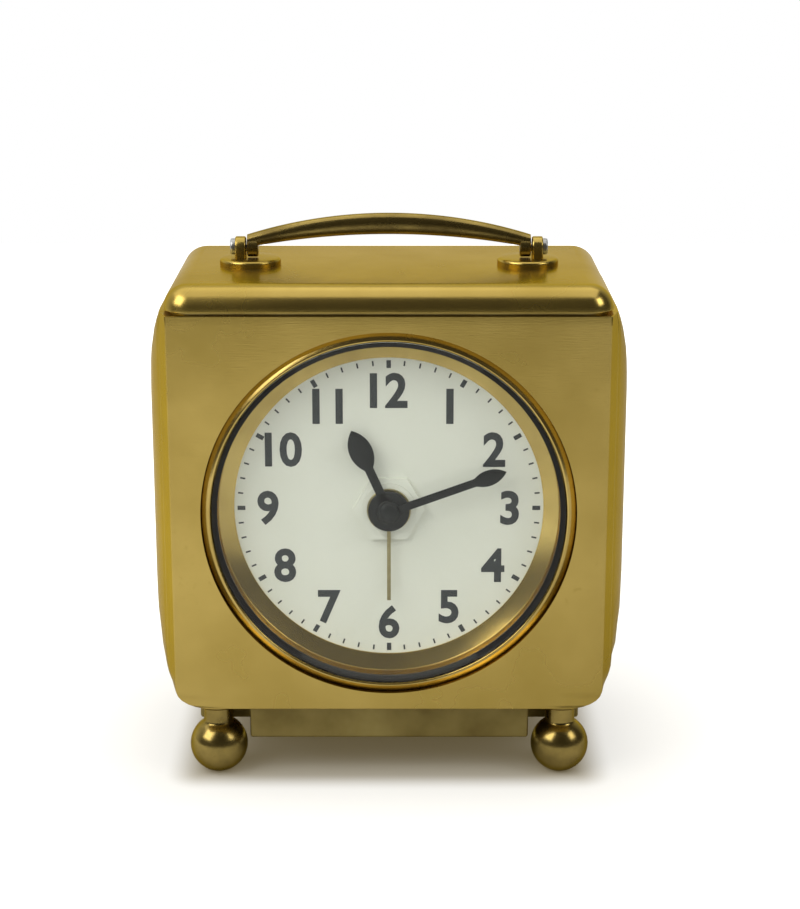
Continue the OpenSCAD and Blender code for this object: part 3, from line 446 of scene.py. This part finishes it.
# Sprayed matt paint: an even soft white with hardly any gloss
dial_paint, tree, place = new_finish("matt_white_dial_paint")
paint_tone = add_node(tree, "ShaderNodeMix", {
    "Factor": grain(tree, place, 11), "A": srgb("#E4E6DF"), "B": srgb("#D9DCD3")}, data_type="RGBA")
finish_with(tree, add_node(tree, "ShaderNodeBsdfPrincipled", {
    "Base Color": paint_tone.outputs["Result"], "Roughness": 0.55,
    "Normal": add_node(tree, "ShaderNodeBump", {"Height": grain(tree, place, 0.4), "Strength": 0.15,
                                                "Distance": 0.00002}).outputs[0]}))
dial = [(dial_hole_r, dial_y), (22.6, dial_y), (dial_r, dial_y), (dial_r, dial_back_y), (dial_hole_r, dial_back_y)]
shaped_piece(turned(dial, 144, "Y", (0, 0, dial_z)), "dial_disc", dial_paint, "case", ["dial"])

# Screen-printed ink: a dark blue grey, a little glossier than the paint
ink, tree, place = new_finish("screen_printed_ink")
ink_tone = add_node(tree, "ShaderNodeMix", {
    "Factor": grain(tree, place, 0.8), "A": srgb("#23282C"), "B": srgb("#333A40")}, data_type="RGBA")
finish_with(tree, add_node(tree, "ShaderNodeBsdfPrincipled", {"Base Color": ink_tone.outputs["Result"],
                                                              "Roughness": 0.4}))
ink_front, ink_back = -14.03, -13.99


def printed_mark(half_w, low, high, turn):
    """A printed bar between two radii, turned clockwise about the dial's centre."""
    bm = block((-half_w, ink_front, low), (half_w, ink_back, high))
    bmesh.ops.rotate(bm, cent=(0, 0, 0), matrix=Matrix.Rotation(radians(turn), 3, "Y"), verts=bm.verts)
    return bm


# Each mark's half width and inner radius
track_r, hour_mark, minute_mark = 22.05, (0.32, 20.9), (0.12, 21.3)
marks = []
for minute in range(60):
    half_w, low = hour_mark if minute % 5 == 0 else minute_mark
    marks.append(printed_mark(half_w, low, track_r, 6 * minute))
track = join(*marks)
bmesh.ops.translate(track, vec=(0, 0, dial_z), verts=track.verts)
shaped_piece(track, "minute_track", ink, "case")

numeral_r, numeral_h, narrowing = 17.6, 5.2, 0.95
for hour in range(1, 13):
    curve = bpy.data.curves.new("numeral", "FONT")
    curve.body = str(hour)
    curve.offset = 0.03
    curve.extrude = 0.01
    curve.resolution_u = 4
    letters = bpy.data.objects.new("numeral", curve)
    bpy.context.scene.collection.objects.link(letters)
    bpy.context.view_layer.update()
    flat = bpy.data.meshes.new_from_object(letters.evaluated_get(bpy.context.evaluated_depsgraph_get()))
    bpy.data.objects.remove(letters)
    bm = bmesh.new()
    bm.from_mesh(flat)
    bpy.data.meshes.remove(flat)
    xs = [v.co.x for v in bm.verts]
    ys = [v.co.y for v in bm.verts]
    tall = numeral_h / (max(ys) - min(ys))
    bmesh.ops.translate(bm, vec=(-(min(xs) + max(xs)) / 2, -(min(ys) + max(ys)) / 2, 0), verts=bm.verts)
    bmesh.ops.scale(bm, vec=(tall * narrowing, tall, 2), verts=bm.verts)
    bmesh.ops.rotate(bm, cent=(0, 0, 0), matrix=Matrix.Rotation(pi / 2, 3, "X"), verts=bm.verts)
    bmesh.ops.translate(bm, vec=(numeral_r * sin(radians(30 * hour)), ink_back - 0.02,
                                 dial_z + numeral_r * cos(radians(30 * hour))), verts=bm.verts)
    shaped_piece(bm, "numeral_%d" % hour, ink, "case")

# ---------------------------------------------------------------- Hands
# The hour and minute hands are stamped from steel, with a spade near the tip, and blued almost black. The thin
# alarm hand is brass in a straw lacquer. All are pressed on their pipes, and a domed cap closes the stack.
hand_t, hub_edge, minute_hand_y = 0.25, 0.08, -16.7
# Blued steel: an oxide skin that is nearly black, with a faint cool sheen
blued, tree, place = new_finish("blued_steel")
blue_tone = add_node(tree, "ShaderNodeMix", {
    "Factor": grain(tree, place, 3), "A": srgb("#161B1E"), "B": srgb("#0D1113")}, data_type="RGBA")
finish_with(tree, add_node(tree, "ShaderNodeBsdfPrincipled", {
    "Base Color": blue_tone.outputs["Result"], "Metallic": 0.2, "Roughness": 0.36, "Specular IOR Level": 0.3,
    "Normal": add_node(tree, "ShaderNodeBump", {"Height": grain(tree, place, 0.2), "Strength": 0.1,
                                                "Distance": 0.00001}).outputs[0]}))
# Straw lacquer greys the brass and dulls it, so the hand stays faint over the white dial
straw = lacquered_brass("straw_lacquered_brass", "#B3A980", "#8F855F", 0.35, 3)


def leaf_half_width(at, low, high, wide):
    """Half the width of a leaf between two circular arcs."""
    half = (high - low) / 2
    r = (half * half + wide * wide / 4) / wide
    off = at - (low + high) / 2
    return max(sqrt(max(r * r - off * off, 0)) - (r - wide / 2), 0) if abs(off) < half else 0


def thicken(bm, outline, move):
    """Makes a solid of a flat outline of vertices, by pushing its face out."""
    pushed = bmesh.ops.extrude_face_region(bm, geom=[bm.faces.new(outline)])
    bmesh.ops.translate(bm, vec=move, verts=[v for v in pushed["geom"] if isinstance(v, bmesh.types.BMVert)])
    bmesh.ops.recalc_face_normals(bm, faces=bm.faces)


def stamped_hand(name, finish, body, node, y, angle, hub_r, bore_r, stem_w, tip, leaf_low=0, leaf_w=0):
    """A flat hand with a hub, a stem and maybe a leaf, its front edges slightly rounded by the stamping."""
    rows = [0.0, tip]
    if leaf_w:
        rows = [0.0, leaf_low - 0.6] + [leaf_low + (tip - leaf_low) * k / 24 for k in range(25)]
    bm = bmesh.new()
    left, right = [], []
    for z in rows:
        leaf = leaf_half_width(z, leaf_low, tip, leaf_w) if leaf_w else 0
        past_middle = leaf_w and z > (leaf_low + tip) / 2
        w = max(leaf, 0.02 if past_middle else stem_w / 2)
        left.append(bm.verts.new((-w, y, z)))
        right.append(bm.verts.new((w, y, z)))
    thicken(bm, left + right[::-1], (0, hand_t, 0))
    soften(bm, [e for e in bm.edges if lies_at(e, Y, y, 1e-4)], 0.06, 2)
    hub = turned([(bore_r, y + hand_t), (hub_r, y + hand_t), (hub_r, y + hub_edge), (hub_r - hub_edge, y),
                  (bore_r, y)], 48, "Y")
    whole = join(bm, hub)
    bmesh.ops.rotate(whole, cent=(0, 0, 0), matrix=Matrix.Rotation(radians(angle), 3, "Y"), verts=whole.verts)
    bmesh.ops.translate(whole, vec=(0, 0, dial_z), verts=whole.verts)
    shaped_piece(whole, name, finish, body, [node])


stamped_hand("alarm_hand_straw", straw, "alarm", "alarm_hand", y=-15.3, angle=180, hub_r=3.2, bore_r=2.32,
             stem_w=0.55, tip=13.8)
stamped_hand("hour_hand_blued", blued, "hour", "hour_hand", y=-16.0, angle=336, hub_r=3.0,
             bore_r=1.62, stem_w=1.3, tip=13.2, leaf_low=6.4, leaf_w=3.4)
stamped_hand("minute_hand_blued", blued, "minute", "minute_hand", y=minute_hand_y, angle=70,
             hub_r=1.8, bore_r=0.92, stem_w=1.15, tip=18, leaf_low=12.6, leaf_w=2.3)
cap_r, cap_rise = 1.45, 0.6
cap = [(0, -17.3)]
cap += [(cap_r * sin(radians(a)), minute_hand_y - cap_rise * cos(radians(a))) for a in (15, 30, 45, 60, 75, 90)]
cap += [(0.92, minute_hand_y), (0.92, -17.0), (0, -17.0)]
shaped_piece(turned(cap, 48, "Y", (0, 0, dial_z)), "hand_cap_blued", blued, "minute", ["hand_cap"])

# ---------------------------------------------------------------- Posts, pins and handle
# Two turned posts stand on the lid, each with an ear. The cast crescent handle hinges between them on steel pins.
# Posts and handle are brass, the posts polished like the case and the handle darker, its darkness painted shade.
post_x, pin_z = 20.5, case_top + 2.6
ear_r, ear_t, ear_in = 1.5, 1.6, 21.1
post_profile = [(0, 0), (4.5, 0), (4.5, 0.55)] + arc(4.1, 0.6, 0.4, 0, 90, 5) + [(2.2, 1.0), (0, 1.0)]
for side, sign in (("left", -1), ("right", 1)):
    post = turned([(r, case_top + h) for r, h in post_profile], 72, at=(sign * post_x, 0, 0))
    ear = bmesh.new()
    outline = [ear.verts.new((0, -ear_r, case_top + 0.5)), ear.verts.new((0, ear_r, case_top + 0.5))]
    outline += [ear.verts.new((0, ear_r * cos(radians(a)), pin_z + ear_r * sin(radians(a))))
                for a in range(0, 181, 10)]
    thicken(ear, outline, (ear_t, 0, 0))
    bmesh.ops.translate(ear, vec=(ear_in if sign > 0 else -ear_in - ear_t, 0, 0), verts=ear.verts)
    soften(ear, [e for e in ear.edges if sharp(e)], 0.25, 3)
    shaped_piece(join(post, ear), "post_%s_brass" % side, case_brass, "case", ["post_" + side])

# Zinc plate: a cool light grey metal with a satin surface
steel, tree, place = new_finish("zinc_plated_steel")
steel_tone = add_node(tree, "ShaderNodeMix", {
    "Factor": grain(tree, place, 2), "A": srgb("#C9CBCD"), "B": srgb("#A5A7A6")}, data_type="RGBA")
finish_with(tree, add_node(tree, "ShaderNodeBsdfPrincipled", {
    "Base Color": steel_tone.outputs["Result"], "Metallic": 1, "Roughness": 0.33,
    "Normal": add_node(tree, "ShaderNodeBump", {"Height": grain(tree, place, 0.15), "Strength": 0.2,
                                                "Distance": 0.00001}).outputs[0]}))
pin_in = 19.3
pin = [(0, 0), (0.7, 0), (0.7, 3.4), (1.2, 3.4), (1.2, 3.85)] + arc(0.95, 3.85, 0.25, 0, 90, 4) + [(0, 4.1)]
pins = []
for sign in (-1, 1):
    one = turned(pin, 32, "X")
    if sign < 0:
        bmesh.ops.rotate(one, cent=(0, 0, 0), matrix=Matrix.Rotation(pi, 3, "Z"), verts=one.verts)
    bmesh.ops.translate(one, vec=(sign * pin_in, 0, pin_z), verts=one.verts)
    pins.append(one)
shaped_piece(join(*pins), "handle_pins_steel", steel, "case", ["handle_pins"])

grip_half, grip_t, grip_h, crown = 20.9, 2.4, 3.1, case_top + 7.6
outer_r, under_r = arc_r(20.5, 3.1), arc_r(20.5, 1.9)
grip_rows, grip_sides = 60, 20


def grip_point(x, a):
    """A point of the grip's surface: domed above, flatter at the front, the back and below."""
    high = crown - outer_r + sqrt(outer_r ** 2 - x * x)
    low = crown - grip_h - under_r + sqrt(under_r ** 2 - x * x)
    across = abs(cos(a)) ** (0.8 if sin(a) > 0 else 0.45) * (1 if cos(a) > 0 else -1)
    up = sin(a) if sin(a) > 0 else -abs(sin(a)) ** 0.6
    return (x, grip_t / 2 * across, (high + low) / 2 + (high - low) / 2 * up)


def ring(bm, points):
    """A closed loop through the points, returned as its edges."""
    verts = bmesh.ops.create_circle(bm, segments=len(points), radius=1, cap_ends=False)["verts"]
    for v, point in zip(verts, points):
        v.co = point
    return [e for e in bm.edges if all(v in verts for v in e.verts)]


def skin(bm, loops):
    """Joins loops, one after the other, into a closed solid."""
    for near, far in zip(loops, loops[1:]):
        bmesh.ops.bridge_loops(bm, edges=near + far)
    for end in (loops[0], loops[-1]):
        bmesh.ops.contextual_create(bm, geom=end)


grip = bmesh.new()
skin(grip, [ring(grip, [grip_point(-grip_half + 2 * grip_half * k / grip_rows, 2 * pi * i / grip_sides)
                        for i in range(grip_sides)]) for k in range(grip_rows + 1)])
eye = [(0.75, 0), (1.35, 0), (1.5, 0.15), (1.5, 1.45), (1.35, 1.6), (0.75, 1.6)]
eyes = [turned(eye, 40, "X", (x, 0, pin_z)) for x in (-grip_half, pin_in)]
shaped_piece(join(grip, *eyes), "handle_brass", shade_darkened_worn_brass, "handle", ["handle"])

# ---------------------------------------------------------------- Back plate, battery cover, knobs and switch
# Seen from behind: a satin brass plate with four screws, sound holes, a battery cover with a finger notch, two
# fluted setting knobs and the black slide switch of the alarm.
# Brushed brass: fine lines across the plate, drawn at 0.12 mm, that spread its reflections into a soft sheen
satin_brass, tree, place = new_finish("brushed_brass")
lines_place = add_node(tree, "ShaderNodeMapping", {"Vector": place, "Scale": (0.02, 1, 1)})
lines = grain(tree, lines_place.outputs[0], 0.12, 3)
satin_tone = add_node(tree, "ShaderNodeMix", {
    "Factor": grain(tree, place, 16), "A": srgb("#C3A65C"), "B": srgb("#A88B45")}, data_type="RGBA")
finish_with(tree, add_node(tree, "ShaderNodeBsdfPrincipled", {
    "Base Color": satin_tone.outputs["Result"], "Metallic": 1,
    "Roughness": add_node(tree, "ShaderNodeMapRange", {"Value": lines, "To Min": 0.3, "To Max": 0.5}).outputs[0],
    "Normal": add_node(tree, "ShaderNodeBump", {"Height": lines, "Strength": 0.35,
                                                "Distance": 0.00002}).outputs[0]}))
refinish(satin_brass, "back_plate", "battery_cover")

knob_r, knob_y, knob_steps, flutes, flute_depth = 4.5, 13.8, 144, 18, 0.42
# Each knob's profile: how far along it, and the share of its full radius there
knob_profile = [(0.0, 0.97), (0.25, 1.0), (3.7, 1.0), (4.05, 0.97), (4.3, 0.9)]
for name, node, body, x, z in (("time_knob_brass", "time_knob", "time_setting", 18, 10.392),
                               ("alarm_knob_brass", "alarm_knob", "alarm_setting", -9.192, 9.192)):
    knob = bmesh.new()
    loops = []
    for along, share in knob_profile:
        points = []
        for i in range(knob_steps):
            a = 2 * pi * i / knob_steps
            r = (knob_r - flute_depth * max(0, cos(flutes * a)) ** 1.5) * share
            points.append((r * cos(a), knob_y + along, r * sin(a)))
        loops.append(ring(knob, points))
    skin(knob, loops)
    bmesh.ops.translate(knob, vec=(x, 0, dial_z + z), verts=knob.verts)
    shaped_piece(knob, name, case_brass, body, [node])

screw_x, screw_z, groove_y, groove_half_w = 27.5, 24.5, 14.05, 0.22
screw_head = [(0, 13.5), (1.7, 13.5), (1.7, 13.9)] + arc(1.35, 13.95, 0.35, 0, 90, 4) + [(0, 14.4)]
screws = []
for x in (-screw_x, screw_x):
    for z in (dial_z - screw_z, dial_z + screw_z):
        head = turned(screw_head, 40, "Y", (x, 0, z))
        groove = block((x - 2, groove_y, z - groove_half_w), (x + 2, 15, z + groove_half_w))
        bmesh.ops.rotate(groove, cent=(x, 14, z), matrix=Matrix.Rotation(radians(20 + 3 * x), 3, "Y"),
                         verts=groove.verts)
        screws.append(carve(head, groove))
shaped_piece(join(*screws), "back_screw_heads", steel, "case")

# ABS with a fine spark-eroded texture, as moulded switches and movement housings have: black and half dull
plastic, tree, place = new_finish("moulded_black_abs")
plastic_rough = add_node(tree, "ShaderNodeMapRange", {"Value": grain(tree, place, 5), "To Min": 0.42, "To Max": 0.58})
finish_with(tree, add_node(tree, "ShaderNodeBsdfPrincipled", {
    "Base Color": srgb("#18191B"), "Roughness": plastic_rough.outputs[0],
    "Normal": add_node(tree, "ShaderNodeBump", {"Height": grain(tree, place, 0.15), "Strength": 0.4,
                                                "Distance": 0.00002}).outputs[0]}))
refinish(plastic, "front_housing", "rear_housing", "alarm_switch")

# ---------------------------------------------------------------- Movement
# Inside the closed case: the quartz alarm movement with its board, coil, gears, buzzer and AA cell, and the
# screws and nuts that hold everything together. Each has its own finish.


def plain_finish(name, light, dark, roughness, metallic=0.0, size_mm=2.0):
    """A finish for a hidden piece: two tones, uneven gloss and a fine surface."""
    finish, tree, place = new_finish(name)
    tone = add_node(tree, "ShaderNodeMix", {"Factor": grain(tree, place, size_mm), "A": srgb(light),
                                            "B": srgb(dark)}, data_type="RGBA")
    rough = add_node(tree, "ShaderNodeMapRange", {"Value": grain(tree, place, size_mm * 2),
                                                  "To Min": roughness - 0.06, "To Max": roughness + 0.08})
    bump = add_node(tree, "ShaderNodeBump", {"Height": grain(tree, place, 0.2), "Strength": 0.2, "Distance": 0.00002})
    finish_with(tree, add_node(tree, "ShaderNodeBsdfPrincipled", {
        "Base Color": tone.outputs["Result"], "Metallic": metallic, "Roughness": rough.outputs[0],
        "Normal": bump.outputs[0]}))
    return finish


refinish(steel, "base_screws", "foot_screws", "post_nuts", "housing_screws", "back_screws", "minute_arbor",
         "time_spindle", "alarm_spindle")
# The bush and its nut are painted like the dial, since the photograph shows no bare metal round the hands
refinish(dial_paint, "centre_bush", "bush_nut")
# Acetal is a milky, slightly waxy plastic
refinish(plain_finish("moulded_acetal", "#E6E2D4", "#D8D3C2", 0.45), "gearbox", "minute_wheel", "hour_wheel",
         "alarm_wheel")
# Green solder mask over the weave of the board
refinish(plain_finish("glass_epoxy_board", "#2C6A40", "#1F5231", 0.4, size_mm=0.4), "circuit_board")
# Copper wire under clear enamel, its turns about 0.3 mm apart
refinish(plain_finish("enamelled_copper_wire", "#B8693A", "#8E4A26", 0.35, 0.8, 0.3), "coil")
# Thin bright brass sheet, as rolled
refinish(plain_finish("buzzer_brass_disc", "#C8AC62", "#A98D48", 0.3, 1.0, 4.0), "buzzer")
# Nickel on spring steel: bright and slightly warm
refinish(plain_finish("nickel_plated_strip", "#CFCDC6", "#ACABA5", 0.25, 1.0), "contact_plus", "contact_minus")
# Glossy printed plastic sleeve, plain blue grey
refinish(plain_finish("printed_battery_sleeve", "#4A5A66", "#3D4B55", 0.3, size_mm=6.0), "battery")

# ---------------------------------------------------------------- Table and light
# The clock stands on a plain white table, whose front edge parts it from a dark room in the brass. One wide soft
# lamp hangs over it, and two smaller ones stand in front, the stronger at the left.
table_half = 0.45
floor_mesh = bpy.data.meshes.new("floor")
bm = bmesh.new()
bmesh.ops.create_grid(bm, x_segments=1, y_segments=1, size=table_half)
bm.to_mesh(floor_mesh)
bm.free()
floor = bpy.data.objects.new("floor", floor_mesh)
bpy.context.scene.collection.objects.link(floor)


def ray_kinds(tree):
    """Two values, each 1 or 0: whether a ray has met no matt surface, and whether it has met no mirror either."""
    path = add_node(tree, "ShaderNodeLightPath")
    hard = add_node(tree, "ShaderNodeMath", {0: 1, 1: path.outputs["Diffuse Depth"]}, operation="SUBTRACT",
                    use_clamp=True).outputs[0]
    direct = add_node(tree, "ShaderNodeMath", {0: hard, 1: path.outputs["Glossy Depth"]}, operation="SUBTRACT",
                      use_clamp=True).outputs[0]
    return hard, direct


# White laminate: matt and pale. Its glow stands for the light that a real studio's white surfaces pass round.
laminate, tree, place = new_finish("matt_white_laminate")
hard, direct = ray_kinds(tree)
# Painted reflection: brass mirrors the table's glow less bright than the eye sees it, painted stronger at the left,
# where the lamp is
side = add_node(tree, "ShaderNodeSeparateXYZ", {0: place}).outputs["X"]
painted_reflection_side = add_node(tree, "ShaderNodeMapRange", {"Value": side, "From Min": -0.06, "From Max": 0.06,
                                                  "To Min": 0.27, "To Max": 0.09})
mirrored = add_node(tree, "ShaderNodeMath", {0: hard, 1: painted_reflection_side.outputs[0]}, operation="MULTIPLY")
shown = add_node(tree, "ShaderNodeMath", {0: mirrored.outputs[0], 1: direct}, operation="MAXIMUM")
# Painted shade and painted bounce light: the table's glow is dark and warm under the clock's footprint, and
# brightens away from it until it runs into the white backdrop.
footprint = (0.028, 0.016, 1)
folded = add_node(tree, "ShaderNodeVectorMath", {0: place}, operation="ABSOLUTE")
past = add_node(tree, "ShaderNodeVectorMath", {0: folded.outputs[0], 1: footprint}, operation="SUBTRACT")
outside = add_node(tree, "ShaderNodeVectorMath", {0: past.outputs[0], 1: (0, 0, 0)}, operation="MAXIMUM")
away = add_node(tree, "ShaderNodeVectorMath", {0: outside.outputs[0]}, operation="LENGTH").outputs["Value"]
near = add_node(tree, "ShaderNodeMapRange", {"Value": away, "From Max": 0.006}, interpolation_type="SMOOTHSTEP")
far = add_node(tree, "ShaderNodeMapRange", {"Value": away, "From Min": 0.004, "From Max": 0.08, "To Min": 0.6,
                                            "To Max": 1.3})
# Painted shade under the clock: the glow's colour goes from dark warm brown there to pale white away from it
painted_shade_glow_tone = add_node(tree, "ShaderNodeMix", {"Factor": near.outputs[0], "A": (0.15, 0.112, 0.044, 1),
                                             "B": (0.9, 0.9, 0.89, 1)}, data_type="RGBA")
glow_far = add_node(tree, "ShaderNodeVectorMath", {0: painted_shade_glow_tone.outputs["Result"], "Scale": far.outputs[0]},
                    operation="SCALE")
glow = add_node(tree, "ShaderNodeEmission", {"Color": glow_far.outputs[0], "Strength": shown.outputs[0]})
matt = add_node(tree, "ShaderNodeBsdfDiffuse", {"Color": srgb("#9F9E9A")})
finish_with(tree, add_node(tree, "ShaderNodeAddShader", {0: glow.outputs[0], 1: matt.outputs[0]}))
floor_mesh.materials.append(laminate)


def soft_lamp(name, place, aim, size, watts):
    """A wide lamp of slightly warm white, pointed at aim. Places and sizes are in metres."""
    data = bpy.data.lights.new(name, "AREA")
    data.shape = "RECTANGLE"
    data.size, data.size_y = size
    data.energy = watts
    data.color = srgb("#FFFBF4")[:3]
    lamp = bpy.data.objects.new(name, data)
    lamp.location = place
    lamp.rotation_euler = (Vector(aim) - Vector(place)).to_track_quat("-Z", "Y").to_euler()
    bpy.context.scene.collection.objects.link(lamp)


soft_lamp("overhead_softbox", (-0.12, 0.0, 0.52), (-0.12, 0, 0.07), (0.9, 0.52), 1.45)
soft_lamp("left_softbox", (-0.36, -0.25, 0.38), (0, 0, 0.04), (0.34, 0.34), 1.35)
soft_lamp("right_softbox", (0.42, -0.22, 0.34), (0, 0, 0.04), (0.2, 0.25), 0.5)

world = bpy.data.worlds.new("studio")
bpy.context.scene.world = world
world.use_nodes = True
tree = world.node_tree
tree.nodes.clear()
# Brass mirrors a dark room in front of the clock and above it, and a white backdrop behind it, fuller at the left.
# Matt surfaces take the soft light of pale walls all round, and the eye sees white.
toward = add_node(tree, "ShaderNodeTexCoord").outputs["Generated"]
backward = add_node(tree, "ShaderNodeVectorMath", {0: (-0.28, 1, 0), 1: toward}, operation="DOT_PRODUCT")
behind = add_node(tree, "ShaderNodeMapRange", {"Value": backward.outputs["Value"], "From Min": 0.0,
                                               "From Max": 0.8})
room_tone = add_node(tree, "ShaderNodeMix", {
    "Factor": behind.outputs[0], "A": srgb("#332F27"), "B": srgb("#E8E7E3")}, data_type="RGBA")
hard, direct = ray_kinds(tree)
walls = add_node(tree, "ShaderNodeMix", {
    "Factor": hard, "A": srgb("#F3F2EF"), "B": room_tone.outputs["Result"]}, data_type="RGBA")
seen = add_node(tree, "ShaderNodeMix", {
    "Factor": direct, "A": walls.outputs["Result"], "B": (1, 1, 1, 1)}, data_type="RGBA")
backdrop = add_node(tree, "ShaderNodeBackground", {"Color": seen.outputs["Result"]})
add_node(tree, "ShaderNodeOutputWorld", {"Surface": backdrop.outputs[0]})

bpy.context.scene.view_settings.view_transform = "Standard"
